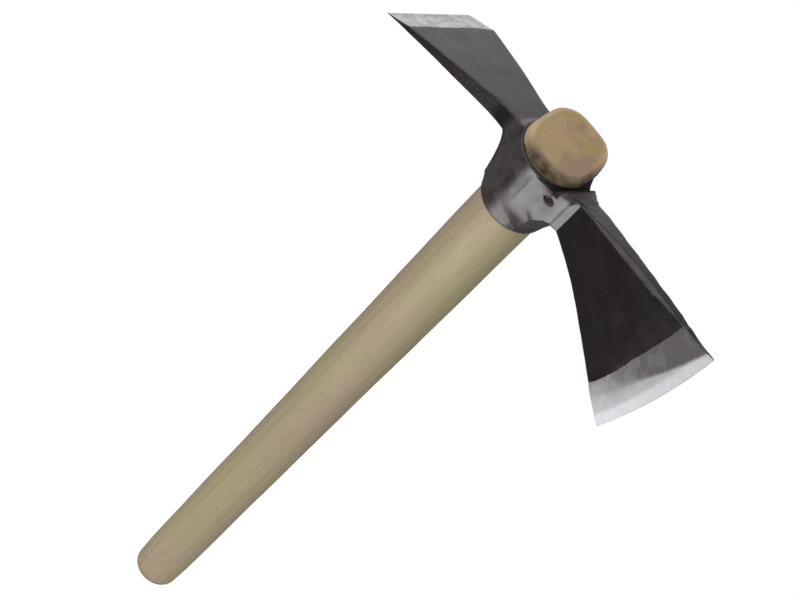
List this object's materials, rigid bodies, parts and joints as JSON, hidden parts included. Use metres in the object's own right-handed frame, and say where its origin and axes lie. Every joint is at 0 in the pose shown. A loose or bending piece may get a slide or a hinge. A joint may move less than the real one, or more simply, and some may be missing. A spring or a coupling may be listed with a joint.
{
  "type": "hand hoe",
  "caption": "Small hand mattock with an upright axe blade and a broad hoe blade on a tapered wooden handle.",
  "frame": {"origin": "centre of the handle's sawn butt", "axes": "+Z along the handle from the butt to the eye, +X toward the axe blade, which lies in the plane Y = 0, and -X toward the hoe blade, which lies across that plane"},
  "size_m": [0.2462, 0.0535, 0.486],
  "materials": {
    "wood": "turned and sanded, satin",
    "lacquered_steel": "black gloss lacquer on forged steel, bevels ground bare",
    "nail_iron": "bare drawn iron, dulled"
  },
  "bodies": {
    "root": {"handle": "wood", "head": "lacquered_steel", "locking_nail": "nail_iron"}
  },
  "joints": []
}
